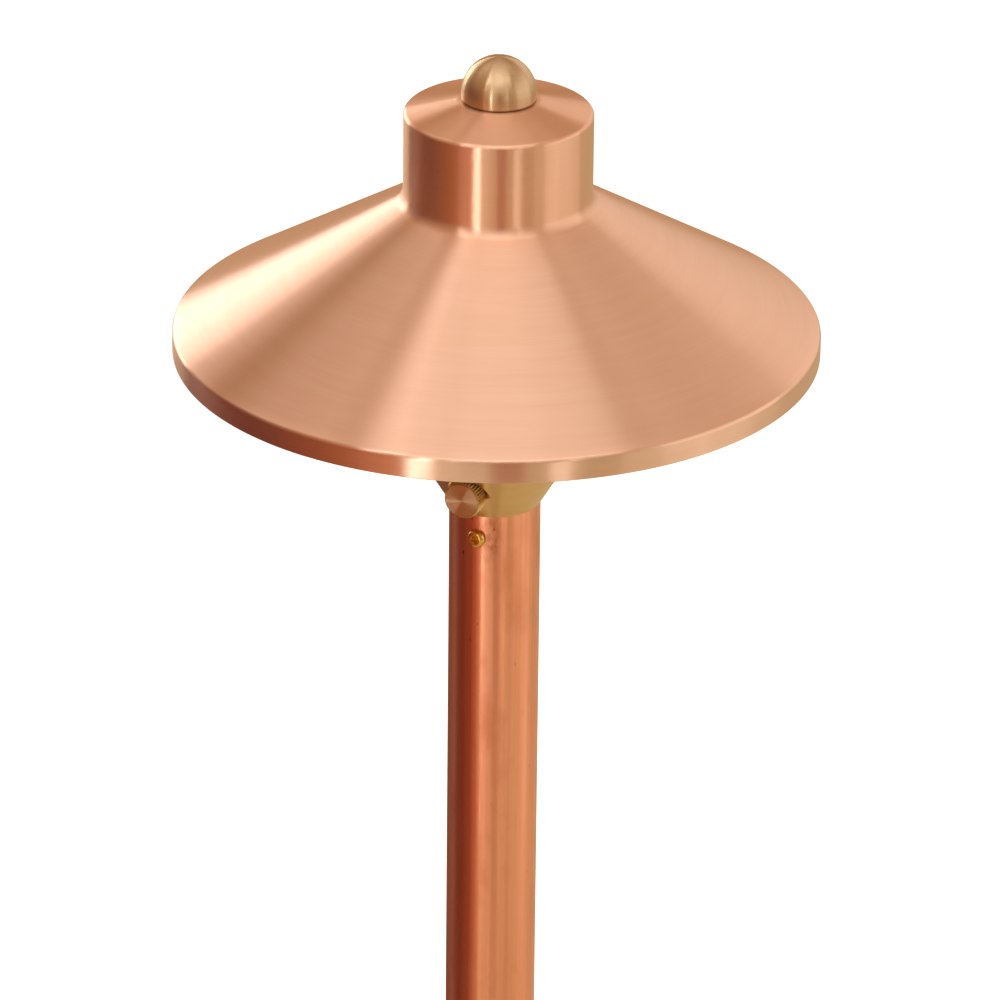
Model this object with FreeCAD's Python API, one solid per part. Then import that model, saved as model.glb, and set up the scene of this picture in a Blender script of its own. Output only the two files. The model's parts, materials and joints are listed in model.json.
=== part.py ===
import FreeCAD, Part
import math
import os

# Path light: a spun copper hat on a brass hub, a copper stem and a ground stake.
# Millimetres, +Z up. The ground line is Z = 0, and the thumbscrew is on the -Y side.

# Clearances
SLIP = 0.05
HOLE_PLAY = 0.1
REST_GAP = 0.3

# Ground stake
FLANGE_RADIUS = 31.0
FLANGE_THICKNESS = 4.0
BOSS_RADIUS = 20.0
BOSS_HEIGHT = 26.0
BOSS_EDGE = 2.0
CABLE_SLOT_WIDTH = 10.0
CABLE_SLOT_HEIGHT = 8.0
BLADE_LENGTH = 200.0
BLADE_POINT = 52.0
BLADE_TOP_WIDTH = 38.0
BLADE_LOW_WIDTH = 25.0
BLADE_TIP_WIDTH = 3.0
BLADE_THICKNESS = 3.6

# Base fitting and its grommet
PIPE_THREAD_RADIUS = 10.6
PIPE_THREAD_LENGTH = 14.0
BASE_COLLAR = 6.0
BASE_SPIGOT = 18.0
CABLE_WAY_RADIUS = 6.5
GROMMET_LIP = 2.0
GROMMET_NECK = 6.0
GROMMET_HOLE_RADIUS = 3.0

# Stem
STEM_RADIUS = 14.3
STEM_WALL = 1.27
STEM_LENGTH = 380.0

# Hub
HUB_SPIGOT = 20.0
HUB_FLARE_HEIGHT = 18.0
HUB_FLARE_ANGLE = 31.0
HUB_RIM_HEIGHT = 3.5
HUB_BORE_RADIUS = 16.0
HUB_FLOOR_HEIGHT = 4.0

# Cross-recess screws through the stem
STEM_SCREW_RADIUS = 1.45
STEM_SCREW_HEAD_RADIUS = 2.9
STEM_SCREW_HEAD_HEIGHT = 1.9
STEM_SCREW_DOME = 1.33
STEM_SCREW_BITE = 4.2
HUB_SCREW_DROP = 7.6
HUB_SCREW_AZIMUTH = 22.5
BASE_SCREW_RISE = 9.0
RECESS_LENGTH = 2.6
RECESS_WIDTH = 0.75
RECESS_DEPTH = 1.0

# Thumbscrew
THUMB_AZIMUTH = 24.5
THUMB_HEIGHT = 9.4
THUMB_THREAD_RADIUS = 2.05
THUMB_HEAD_RADIUS = 6.0
THUMB_HEAD_LENGTH = 5.5
THUMB_HEAD_CHAMFER = 0.5
KNURL_COUNT = 40
KNURL_DEPTH = 0.4
THUMB_WASHER_RADIUS = 3.8
THUMB_WASHER_THICKNESS = 0.8
SPOT_FACE_RADIUS = 7.0
SPOT_FACE_WALL = 2.6

# Lamp socket, its screws, contacts and wiring
SOCKET_BASE_RADIUS = 12.3
SOCKET_BASE_HEIGHT = 5.0
SOCKET_TOWER_RADIUS = 8.0
SOCKET_TOWER_HEIGHT = 11.0
SOCKET_SCREW_CIRCLE = 10.2
SOCKET_SCREW_RADIUS = 1.2
SOCKET_SCREW_HEAD_RADIUS = 2.0
SOCKET_SCREW_HEAD_HEIGHT = 1.4
SOCKET_SCREW_DOME = 0.98
SOCKET_SCREW_BITE = 7.0
CONTACT_LENGTH = 7.5
CONTACT_WALL = 0.45
LEAD_RADIUS = 1.1
LEAD_LENGTH = 150.0
LEAD_STRAIGHT = 34.0
LEAD_SPREAD = 4.2
LEAD_BEND_RADIUS = 12.0
CONNECTOR_RADIUS = 3.4
CONNECTOR_LENGTH = 18.0
CONNECTOR_GRIP = 10.0
CONNECTOR_ROUND = 1.7

# Capsule lamp
PIN_SPACING = 4.0
PIN_RADIUS = 0.35
PIN_REACH = 7.0
PIN_ROOT = 3.0
PINCH_WIDTH = 9.0
PINCH_THICKNESS = 3.4
PINCH_HEIGHT = 8.0
BULB_RADIUS = 4.75
BULB_WALL = 0.8
BULB_LENGTH = 19.0
FILAMENT_HEIGHT = 17.0
FILAMENT_RADIUS = 0.7
FILAMENT_PITCH = 0.8
FILAMENT_WIRE = 0.17

# Lens holder, glass lens and lens cap
HOLDER_BORE_RADIUS = 13.0
HOLDER_FLANGE = 9.0
LENS_RADIUS = 18.0
LENS_WALL = 2.5
LENS_LENGTH = 80.0
LENS_SEAT_DEPTH = 5.0
LENS_PLAY = 0.4
GASKET_THICKNESS = 1.5
CAP_RADIUS = 24.0
CAP_PLATE = 4.0
ORING_RADIUS = 0.75
ORING_BELOW_RIM = 4.0

# Tie rods
ROD_COUNT = 3
ROD_RADIUS = 1.5
ROD_CIRCLE = 21.2
ROD_BITE = 7.0
ROD_END = 1.2
NUT_ACROSS_FLATS = 5.5
NUT_HEIGHT = 2.4

# Hat
RIM_ABOVE_STEM = 51.5
SHEET = 1.2
HAT_RADIUS = 100.0
LIP_HEIGHT = 7.1
CONE_HEIGHT = 42.9
CROWN_RADIUS = 29.1
CROWN_HEIGHT = 28.4
LAND_RADIUS = 12.8
LAND_RISE = 4.0
LAND_BEND = 3.0
SHOULDER_BEND = 1.5
FOOT_BEND = 4.5
LIP_BEND = 1.5
RIM_EDGE = 0.4

# Finial and the bolt that it screws on
BOLT_RADIUS = 3.0
BOLT_HEAD_RADIUS = 5.5
BOLT_HEAD_HEIGHT = 3.0
BOLT_ABOVE_HAT = 9.0
SPACER_WALL = 3.0
HAT_WASHER_RADIUS = 11.0
HAT_WASHER_THICKNESS = 1.2
FINIAL_RADIUS = 11.55
FINIAL_SKIRT = 2.2
FINIAL_WASHER_RADIUS = 8.5
FINIAL_WASHER_THICKNESS = 1.0

# Small broken edges on turned pieces
EDGE = 0.4

# Heights that follow from the sizes above
stem_bottom = BOSS_HEIGHT + BASE_COLLAR
stem_top = stem_bottom + STEM_LENGTH
stem_bore = STEM_RADIUS - STEM_WALL
spigot_radius = stem_bore - SLIP
hub_flare_slope = math.tan(math.radians(HUB_FLARE_ANGLE))
hub_rim_radius = STEM_RADIUS + HUB_FLARE_HEIGHT * hub_flare_slope
hub_floor = stem_top + HUB_FLOOR_HEIGHT
hub_top = stem_top + HUB_FLARE_HEIGHT + HUB_RIM_HEIGHT
thumb_z = stem_top + THUMB_HEIGHT
spot_face = HUB_BORE_RADIUS + SPOT_FACE_WALL
socket_deck = hub_floor + SOCKET_BASE_HEIGHT
socket_top = socket_deck + SOCKET_TOWER_HEIGHT
contact_bottom = socket_top - CONTACT_LENGTH
contact_radius = PIN_RADIUS + HOLE_PLAY + CONTACT_WALL
lamp_bottom = socket_top + REST_GAP
holder_top = hub_top + HOLDER_FLANGE
lens_seat = holder_top - LENS_SEAT_DEPTH
lens_seat_radius = LENS_RADIUS + LENS_PLAY
lens_bottom = lens_seat + GASKET_THICKNESS
lens_top = lens_bottom + LENS_LENGTH
cap_seat = lens_top + GASKET_THICKNESS
cap_bottom = cap_seat - LENS_SEAT_DEPTH
cap_top = cap_seat + CAP_PLATE
rim = stem_top + RIM_ABOVE_STEM
crown_foot = rim + LIP_HEIGHT + CONE_HEIGHT
shoulder = crown_foot + CROWN_HEIGHT
land = shoulder + LAND_RISE
bolt_hole_radius = BOLT_RADIUS + HOLE_PLAY


def point(r, z):
    return FreeCAD.Vector(r, 0, z)


def outline(corners):
    """Closed outline in the XZ plane from (r, z, corner radius) triples."""
    stretches = []
    count = len(corners)
    for i in range(count):
        r, z, radius = corners[i]
        corner = point(r, z)
        if radius == 0:
            stretches.append((corner, None, corner))
            continue
        before = point(*corners[i - 1][:2]) - corner
        after = point(*corners[(i + 1) % count][:2]) - corner
        before.normalize()
        after.normalize()
        half_turn = before.getAngle(after) / 2
        reach = radius / math.tan(half_turn)
        inward = before + after
        inward.normalize()
        middle = corner + inward * (radius / math.sin(half_turn) - radius)
        stretches.append((corner + before * reach, middle, corner + after * reach))
    edges = []
    for i in range(count):
        start, middle, end = stretches[i]
        if middle is not None:
            edges.append(Part.Arc(start, middle, end).toShape())
        following = stretches[(i + 1) % count][0]
        if end.distanceToPoint(following) > 1e-6:
            edges.append(Part.makeLine(end, following))
    return Part.Wire(edges)


def turned(corners):
    """Solid of revolution about Z."""
    face = Part.Face(outline(corners))
    return face.revolve(FreeCAD.Vector(0, 0, 0), FreeCAD.Vector(0, 0, 1), 360)


def ring(outer, inner, bottom, top, edge=0):
    return turned([(inner, bottom, 0), (outer, bottom, edge), (outer, top, edge), (inner, top, 0)])


def rod(radius, bottom, top, x=0.0, y=0.0):
    return Part.makeCylinder(radius, top - bottom, FreeCAD.Vector(x, y, bottom))


def outward(azimuth):
    """Horizontal direction, counted from -Y towards -X."""
    angle = math.radians(azimuth)
    return FreeCAD.Vector(-math.sin(angle), -math.cos(angle), 0)


def drilled(radius, start, end, azimuth, z):
    """Cylinder along a horizontal radius, from start to end away from the axis."""
    direction = outward(azimuth)
    return Part.makeCylinder(radius, end - start, direction * start + FreeCAD.Vector(0, 0, z), direction)


def aimed(shape, start, azimuth, z):
    """Copy of a shape made along +Z, set on a horizontal radius at a distance from the axis."""
    direction = outward(azimuth)
    turn = FreeCAD.Rotation(FreeCAD.Vector(0, 0, 1), direction)
    placed = shape.copy()
    placed.Placement = FreeCAD.Placement(direction * start + FreeCAD.Vector(0, 0, z), turn)
    return placed


def pan_screw(radius, bite, head_radius, head_height, dome):
    """Screw along +Z with a domed head that seats at Z = 0 and a cross recess."""
    body = turned([
        (0, -bite, 0), (radius, -bite, EDGE), (radius, 0, 0), (head_radius, 0, 0),
        (head_radius, head_height, dome), (0, head_height, 0),
    ])
    floor = head_height - RECESS_DEPTH
    for length, width in ((RECESS_LENGTH, RECESS_WIDTH), (RECESS_WIDTH, RECESS_LENGTH)):
        slot = Part.makeBox(length, width, RECESS_DEPTH, FreeCAD.Vector(-length / 2, -width / 2, floor))
        body = body.cut(slot)
    return body


def make_ground_stake():
    """Moulded stake: cross-shaped blade, ground flange, threaded boss and a cable slot."""
    flange = ring(FLANGE_RADIUS, 0, 0, FLANGE_THICKNESS, EDGE)
    boss = turned([
        (0, 0, 0), (BOSS_RADIUS, 0, 0), (BOSS_RADIUS, BOSS_HEIGHT, BOSS_EDGE), (0, BOSS_HEIGHT, 0),
    ])
    shoulder_depth = BLADE_POINT - BLADE_LENGTH
    half_widths = [
        (BLADE_TOP_WIDTH / 2, FLANGE_THICKNESS / 2), (BLADE_TOP_WIDTH / 2, 0),
        (BLADE_LOW_WIDTH / 2, shoulder_depth), (BLADE_TIP_WIDTH / 2, -BLADE_LENGTH),
    ]
    side = [FreeCAD.Vector(x, -BLADE_THICKNESS / 2, z) for x, z in half_widths]
    side += [FreeCAD.Vector(-x, -BLADE_THICKNESS / 2, z) for x, z in reversed(half_widths)]
    plate = Part.Face(Part.makePolygon(side + side[:1])).extrude(FreeCAD.Vector(0, BLADE_THICKNESS, 0))
    cross_plate = plate.copy()
    cross_plate.rotate(FreeCAD.Vector(0, 0, 0), FreeCAD.Vector(0, 0, 1), 90)
    stake = boss.fuse([flange, plate, cross_plate]).removeSplitter()
    stake = stake.cut(rod(PIPE_THREAD_RADIUS + SLIP, FLANGE_THICKNESS, BOSS_HEIGHT))
    slot = Part.makeBox(
        CABLE_SLOT_WIDTH, BOSS_RADIUS, CABLE_SLOT_HEIGHT,
        FreeCAD.Vector(-CABLE_SLOT_WIDTH / 2, 0, FLANGE_THICKNESS),
    )
    return stake.cut(slot)


def make_base_fitting():
    """Brass fitting that closes the stem's foot and screws into the stake."""
    thread_end = BOSS_HEIGHT - PIPE_THREAD_LENGTH
    top = stem_bottom + BASE_SPIGOT
    body = turned([
        (CABLE_WAY_RADIUS, thread_end, 0), (PIPE_THREAD_RADIUS, thread_end, EDGE),
        (PIPE_THREAD_RADIUS, BOSS_HEIGHT, 0), (STEM_RADIUS, BOSS_HEIGHT, EDGE), (STEM_RADIUS, stem_bottom, 0),
        (spigot_radius, stem_bottom, 0), (spigot_radius, top, EDGE), (CABLE_WAY_RADIUS, top, 0),
    ])
    hole_end = STEM_RADIUS - STEM_WALL - STEM_SCREW_BITE
    hole = drilled(STEM_SCREW_RADIUS + SLIP, hole_end, STEM_RADIUS, HUB_SCREW_AZIMUTH, base_screw_z)
    return body.cut(hole)


def make_lead_grommet():
    """Rubber grommet in the top of the base fitting, where the supply lead comes in."""
    seat = stem_bottom + BASE_SPIGOT
    lip_radius = CABLE_WAY_RADIUS + GROMMET_LIP
    neck_radius = CABLE_WAY_RADIUS - SLIP
    return turned([
        (GROMMET_HOLE_RADIUS, seat - GROMMET_NECK, 0), (neck_radius, seat - GROMMET_NECK, EDGE),
        (neck_radius, seat, 0), (lip_radius, seat, 0), (lip_radius, seat + GROMMET_LIP, EDGE),
        (GROMMET_HOLE_RADIUS, seat + GROMMET_LIP, EDGE),
    ])


def make_stem_tube():
    """Plain copper tube with a screw hole near each end."""
    tube = ring(STEM_RADIUS, stem_bore, stem_bottom, stem_top)
    for z in (hub_screw_z, base_screw_z):
        tube = tube.cut(drilled(STEM_SCREW_RADIUS + HOLE_PLAY, 0, 2 * STEM_RADIUS, HUB_SCREW_AZIMUTH, z))
    return tube


def make_hub():
    """Turned brass funnel: spigot in the stem with two lead holes, flare, and a bore for the lens holder."""
    spigot_end = stem_top - HUB_SPIGOT
    body = turned([
        (0, spigot_end, 0), (spigot_radius, spigot_end, EDGE), (spigot_radius, stem_top, 0),
        (STEM_RADIUS, stem_top, 0), (hub_rim_radius, stem_top + HUB_FLARE_HEIGHT, 2 * EDGE),
        (hub_rim_radius, hub_top, EDGE), (HUB_BORE_RADIUS, hub_top, 0), (HUB_BORE_RADIUS, hub_floor, 0),
        (0, hub_floor, 0),
    ])
    body = body.cut(drilled(SPOT_FACE_RADIUS, spot_face, 2 * hub_rim_radius, THUMB_AZIMUTH, thumb_z))
    body = body.cut(drilled(THUMB_THREAD_RADIUS + SLIP, 0, hub_rim_radius, THUMB_AZIMUTH, thumb_z))
    hole_end = STEM_RADIUS - STEM_WALL - STEM_SCREW_BITE
    body = body.cut(
        drilled(STEM_SCREW_RADIUS + SLIP, hole_end, STEM_RADIUS, HUB_SCREW_AZIMUTH, hub_screw_z))
    for side in (-1, 1):
        screw_x = side * SOCKET_SCREW_CIRCLE
        body = body.cut(rod(SOCKET_SCREW_RADIUS + SLIP, hub_floor - SOCKET_SCREW_BITE, hub_floor, screw_x))
        lead_x = side * PIN_SPACING / 2
        body = body.cut(rod(LEAD_RADIUS + HOLE_PLAY, spigot_end, hub_floor, lead_x))
    return body


def make_stem_screw(z):
    """Cross-recess screw through the stem's wall into a brass spigot."""
    screw = pan_screw(
        STEM_SCREW_RADIUS, STEM_WALL + STEM_SCREW_BITE,
        STEM_SCREW_HEAD_RADIUS, STEM_SCREW_HEAD_HEIGHT, STEM_SCREW_DOME)
    return aimed(screw, STEM_RADIUS, HUB_SCREW_AZIMUTH, z)


def make_lamp_socket():
    """Ceramic bi-pin lamp holder: round base with two screw holes and a tower with two pin holes."""
    body = turned([
        (0, hub_floor, 0), (SOCKET_BASE_RADIUS, hub_floor, 0), (SOCKET_BASE_RADIUS, socket_deck, EDGE),
        (SOCKET_TOWER_RADIUS, socket_deck, 0), (SOCKET_TOWER_RADIUS, socket_top, 2 * EDGE),
        (0, socket_top, 0),
    ])
    for side in (-1, 1):
        body = body.cut(
            rod(SOCKET_SCREW_RADIUS + HOLE_PLAY, hub_floor, socket_deck, side * SOCKET_SCREW_CIRCLE))
        pin_x = side * PIN_SPACING / 2
        body = body.cut(rod(contact_radius + SLIP, contact_bottom, socket_top, pin_x))
        body = body.cut(rod(LEAD_RADIUS + SLIP, hub_floor, contact_bottom, pin_x))
    return body


def make_socket_screws():
    """Two screws that hold the lamp socket down on the hub's floor."""
    screws = []
    for x in (-SOCKET_SCREW_CIRCLE, SOCKET_SCREW_CIRCLE):
        screw = pan_screw(
            SOCKET_SCREW_RADIUS, SOCKET_BASE_HEIGHT + SOCKET_SCREW_BITE,
            SOCKET_SCREW_HEAD_RADIUS, SOCKET_SCREW_HEAD_HEIGHT, SOCKET_SCREW_DOME)
        screw.translate(FreeCAD.Vector(x, 0, socket_deck))
        screws.append(screw)
    return Part.makeCompound(screws)


def make_socket_contacts():
    """Two sleeve contacts that grip the lamp's pins."""
    sleeves = []
    for side in (-1, 1):
        sleeve = ring(contact_radius, PIN_RADIUS + HOLE_PLAY, contact_bottom, socket_top)
        sleeve.translate(FreeCAD.Vector(side * PIN_SPACING / 2, 0, 0))
        sleeves.append(sleeve)
    return Part.makeCompound(sleeves)


def make_socket_leads():
    """Two insulated leads from the contacts down the stem, spread apart by a gentle S-bend."""
    offset = LEAD_SPREAD - PIN_SPACING / 2
    angle = math.acos(1 - offset / (2 * LEAD_BEND_RADIUS))
    drop = LEAD_BEND_RADIUS * math.sin(angle)
    half_drop = LEAD_BEND_RADIUS * math.sin(angle / 2)
    half_shift = LEAD_BEND_RADIUS * (1 - math.cos(angle / 2))
    bend_top = contact_bottom - LEAD_STRAIGHT
    bend_bottom = bend_top - 2 * drop
    leads = []
    for side in (-1, 1):
        inner = PIN_SPACING / 2
        start = point(side * inner, contact_bottom)
        turn_out = point(side * inner, bend_top)
        turn_out_middle = point(side * (inner + half_shift), bend_top - half_drop)
        crossing = point(side * (inner + offset / 2), bend_top - drop)
        turn_down_middle = point(side * (LEAD_SPREAD - half_shift), bend_bottom + half_drop)
        turn_down = point(side * LEAD_SPREAD, bend_bottom)
        end = point(side * LEAD_SPREAD, contact_bottom - LEAD_LENGTH)
        path = Part.Wire([
            Part.makeLine(start, turn_out),
            Part.Arc(turn_out, turn_out_middle, crossing).toShape(),
            Part.Arc(crossing, turn_down_middle, turn_down).toShape(),
            Part.makeLine(turn_down, end),
        ])
        section = Part.Wire(Part.makeCircle(LEAD_RADIUS, start, FreeCAD.Vector(0, 0, -1)))
        leads.append(path.makePipeShell([section], True, True))
    print("lead bend radius", LEAD_BEND_RADIUS)
    return Part.makeCompound(leads)


def make_lead_connectors():
    """Closed-end crimp caps on the lower ends of the leads."""
    lead_end = contact_bottom - LEAD_LENGTH
    top = lead_end + CONNECTOR_GRIP
    bottom = top - CONNECTOR_LENGTH
    grip_radius = LEAD_RADIUS + SLIP
    caps = []
    for side in (-1, 1):
        cap = turned([
            (0, bottom, 0), (CONNECTOR_RADIUS, bottom, CONNECTOR_ROUND), (CONNECTOR_RADIUS, top, EDGE),
            (grip_radius, top, 0), (grip_radius, lead_end, 0), (0, lead_end, 0),
        ])
        cap.translate(FreeCAD.Vector(side * LEAD_SPREAD, 0, 0))
        caps.append(cap)
    return Part.makeCompound(caps)


def rod_places():
    """Azimuths of the tie rods, one of them straight back."""
    return [180 + i * 360 / ROD_COUNT for i in range(ROD_COUNT)]


def make_lens_holder():
    """Brass collar: spigot in the hub, flange on the hub's rim, and a recess for the glass."""
    spigot = HUB_BORE_RADIUS - SLIP
    spigot_end = hub_floor + REST_GAP
    groove_radius = HUB_BORE_RADIUS - HOLE_PLAY - 2 * ORING_RADIUS - SLIP
    groove_half = ORING_RADIUS + HOLE_PLAY
    body = turned([
        (HOLDER_BORE_RADIUS, spigot_end, 0), (spigot, spigot_end, EDGE), (spigot, oring_z - groove_half, 0),
        (groove_radius, oring_z - groove_half, 0), (groove_radius, oring_z + groove_half, 0),
        (spigot, oring_z + groove_half, 0), (spigot, hub_top, 0), (hub_rim_radius, hub_top, EDGE),
        (hub_rim_radius, holder_top, 2 * EDGE), (lens_seat_radius, holder_top, 0),
        (lens_seat_radius, lens_seat, 0), (HOLDER_BORE_RADIUS, lens_seat, 0),
    ])
    for azimuth in rod_places():
        place = outward(azimuth) * ROD_CIRCLE
        body = body.cut(rod(ROD_RADIUS + SLIP, holder_top - ROD_BITE, holder_top, place.x, place.y))
    return body


def make_holder_oring():
    """Rubber ring in the holder's groove."""
    centre = HUB_BORE_RADIUS - HOLE_PLAY - ORING_RADIUS
    return Part.makeTorus(centre, ORING_RADIUS, FreeCAD.Vector(0, 0, oring_z))


def make_gasket(bottom):
    """Flat silicone gasket at an end of the glass."""
    return ring(LENS_RADIUS, LENS_RADIUS - LENS_WALL, bottom, bottom + GASKET_THICKNESS)


def make_lens():
    """Frosted glass cylinder round the lamp."""
    inner = LENS_RADIUS - LENS_WALL
    return turned([
        (inner, lens_bottom, EDGE), (LENS_RADIUS, lens_bottom, EDGE),
        (LENS_RADIUS, lens_top, EDGE), (inner, lens_top, EDGE),
    ])


def make_lens_cap():
    """Brass cap over the glass, with holes for the tie rods and the hat bolt."""
    body = turned([
        (bolt_hole_radius, cap_seat, 0), (lens_seat_radius, cap_seat, 0), (lens_seat_radius, cap_bottom, 0),
        (CAP_RADIUS, cap_bottom, EDGE), (CAP_RADIUS, cap_top, 2 * EDGE), (bolt_hole_radius, cap_top, 0),
    ])
    for azimuth in rod_places():
        place = outward(azimuth) * ROD_CIRCLE
        body = body.cut(rod(ROD_RADIUS + HOLE_PLAY, cap_bottom, cap_top, place.x, place.y))
    return body


def make_tie_rods():
    """Threaded rods that draw the cap down on the glass."""
    top = cap_top + NUT_HEIGHT + ROD_END
    rods = []
    for azimuth in rod_places():
        place = outward(azimuth) * ROD_CIRCLE
        tie = ring(ROD_RADIUS, 0, holder_top - ROD_BITE, top, EDGE)
        tie.translate(place)
        rods.append(tie)
    return Part.makeCompound(rods)


def make_tie_rod_nuts():
    """Hexagon nuts on the upper ends of the tie rods."""
    corner_radius = NUT_ACROSS_FLATS / math.sqrt(3)
    nuts = []
    for azimuth in rod_places():
        place = outward(azimuth) * ROD_CIRCLE
        corners = []
        for i in range(7):
            angle = math.radians(60 * i)
            corner = FreeCAD.Vector(corner_radius * math.cos(angle), corner_radius * math.sin(angle), cap_top)
            corners.append(corner)
        nut = Part.Face(Part.makePolygon(corners)).extrude(FreeCAD.Vector(0, 0, NUT_HEIGHT))
        nut = nut.cut(rod(ROD_RADIUS + SLIP, cap_top, cap_top + NUT_HEIGHT))
        nut.translate(place)
        nuts.append(nut)
    return Part.makeCompound(nuts)


def make_hat_bolt():
    """Bolt from under the lens cap up through the hat."""
    return turned([
        (0, cap_seat - BOLT_HEAD_HEIGHT, 0), (BOLT_HEAD_RADIUS, cap_seat - BOLT_HEAD_HEIGHT, EDGE),
        (BOLT_HEAD_RADIUS, cap_seat, 0), (BOLT_RADIUS, cap_seat, 0),
        (BOLT_RADIUS, land + BOLT_ABOVE_HAT, EDGE), (0, land + BOLT_ABOVE_HAT, 0),
    ])


def make_hat_spacer():
    """Brass tube on the bolt between the lens cap and the hat's washer."""
    top = land - SHEET - HAT_WASHER_THICKNESS
    return ring(bolt_hole_radius + SPACER_WALL, bolt_hole_radius, cap_top, top)


def make_hat_washer():
    """Flat brass washer under the hat's centre."""
    top = land - SHEET
    return ring(HAT_WASHER_RADIUS, bolt_hole_radius, top - HAT_WASHER_THICKNESS, top)


def shifted(path, distance):
    """Open path of (r, z, bend) corners, moved sideways to its right by a sheet's thickness."""
    moved = []
    for i in range(len(path)):
        here = point(*path[i][:2])
        directions = []
        if i > 0:
            directions.append(here - point(*path[i - 1][:2]))
        if i < len(path) - 1:
            directions.append(point(*path[i + 1][:2]) - here)
        sides = []
        for direction in directions:
            direction.normalize()
            sides.append(point(direction.z, -direction.x))
        middle = sides[0] + sides[-1]
        middle.normalize()
        corner = here + middle * (distance / middle.dot(sides[0]))
        turn = directions[0].z * directions[-1].x - directions[0].x * directions[-1].z
        bend = path[i][2]
        if turn > 0:
            bend = bend - distance
        elif turn < 0:
            bend = bend + distance
        moved.append((corner.x, corner.z, bend))
    return moved


def make_hat():
    """Spun sheet: flat land, shallow cone, crown, wide conical brim and upright lip."""
    outside = [
        (bolt_hole_radius, land, 0), (LAND_RADIUS, land, LAND_BEND), (CROWN_RADIUS, shoulder, SHOULDER_BEND),
        (CROWN_RADIUS, crown_foot, FOOT_BEND), (HAT_RADIUS, rim + LIP_HEIGHT, LIP_BEND), (HAT_RADIUS, rim, 0),
    ]
    inside = shifted(outside, SHEET)
    outside[-1] = (HAT_RADIUS, rim, RIM_EDGE)
    inside[-1] = (HAT_RADIUS - SHEET, rim, RIM_EDGE)
    return turned(outside + inside[::-1])


def make_finial_washer():
    """Rubber washer in the finial's underside, on the hat."""
    return ring(FINIAL_WASHER_RADIUS, bolt_hole_radius, land, land + FINIAL_WASHER_THICKNESS)


def make_finial():
    """Domed brass nut with a recess for its washer and a blind threaded hole."""
    recess_radius = FINIAL_WASHER_RADIUS + REST_GAP
    recess_top = land + FINIAL_WASHER_THICKNESS + SLIP
    hole_radius = BOLT_RADIUS + SLIP
    hole_top = land + BOLT_ABOVE_HAT + REST_GAP
    foot = land + SLIP
    crest = land + FINIAL_SKIRT + FINIAL_RADIUS
    return turned([
        (0, hole_top, 0), (hole_radius, hole_top, 0), (hole_radius, recess_top, 0),
        (recess_radius, recess_top, 0), (recess_radius, foot, 0), (FINIAL_RADIUS, foot, EDGE),
        (FINIAL_RADIUS, crest, FINIAL_RADIUS), (0, crest, 0),
    ])


def make_thumbscrew_washer():
    """Captive washer under the thumbscrew's head."""
    washer = ring(THUMB_WASHER_RADIUS, THUMB_THREAD_RADIUS + SLIP, 0, THUMB_WASHER_THICKNESS)
    return aimed(washer, spot_face, THUMB_AZIMUTH, thumb_z)


def make_thumbscrew():
    """Knurled-head screw whose tip stops just short of the lens holder's spigot."""
    tip = HUB_BORE_RADIUS + SLIP
    under_head = spot_face + THUMB_WASHER_THICKNESS + SLIP
    length = under_head - tip
    shank = ring(THUMB_THREAD_RADIUS, 0, -length, 0, EDGE)
    blank = turned([
        (0, 0, 0), (THUMB_HEAD_RADIUS - THUMB_HEAD_CHAMFER, 0, 0), (THUMB_HEAD_RADIUS, THUMB_HEAD_CHAMFER, 0),
        (THUMB_HEAD_RADIUS, THUMB_HEAD_LENGTH - THUMB_HEAD_CHAMFER, 0),
        (THUMB_HEAD_RADIUS - THUMB_HEAD_CHAMFER, THUMB_HEAD_LENGTH, 0), (0, THUMB_HEAD_LENGTH, 0),
    ])
    teeth = []
    for i in range(2 * KNURL_COUNT):
        radius = THUMB_HEAD_RADIUS - KNURL_DEPTH * (i % 2)
        angle = math.pi * i / KNURL_COUNT
        teeth.append(FreeCAD.Vector(radius * math.cos(angle), radius * math.sin(angle), 0))
    knurl = Part.Face(Part.makePolygon(teeth + teeth[:1])).extrude(FreeCAD.Vector(0, 0, THUMB_HEAD_LENGTH))
    screw = blank.common(knurl).fuse(shank)
    return aimed(screw, under_head, THUMB_AZIMUTH, thumb_z)


def make_lamp_capsule():
    """Quartz capsule: flat pinch below, domed bulb above, hollow round the filament."""
    bulb_bottom = lamp_bottom + PINCH_HEIGHT - BULB_WALL
    bulb_top = lamp_bottom + PINCH_HEIGHT + BULB_LENGTH
    inner_radius = BULB_RADIUS - BULB_WALL
    bulb = turned([
        (0, bulb_bottom, 0), (BULB_RADIUS, bulb_bottom, BULB_WALL),
        (BULB_RADIUS, bulb_top + BULB_RADIUS, BULB_RADIUS), (0, bulb_top + BULB_RADIUS, 0),
    ])
    hollow = turned([
        (0, lamp_bottom + PINCH_HEIGHT, 0), (inner_radius, lamp_bottom + PINCH_HEIGHT, 0),
        (inner_radius, bulb_top + inner_radius, inner_radius), (0, bulb_top + inner_radius, 0),
    ])
    pinch = Part.makeBox(
        PINCH_WIDTH, PINCH_THICKNESS, PINCH_HEIGHT,
        FreeCAD.Vector(-PINCH_WIDTH / 2, -PINCH_THICKNESS / 2, lamp_bottom))
    capsule = bulb.fuse(pinch).cut(hollow)
    for x in (-PIN_SPACING / 2, PIN_SPACING / 2):
        capsule = capsule.cut(rod(PIN_RADIUS + SLIP, lamp_bottom, lamp_bottom + PIN_ROOT, x))
        capsule = capsule.cut(
            rod(FILAMENT_WIRE + SLIP, lamp_bottom + PIN_ROOT, lamp_bottom + PINCH_HEIGHT, x))
    return capsule


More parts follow.
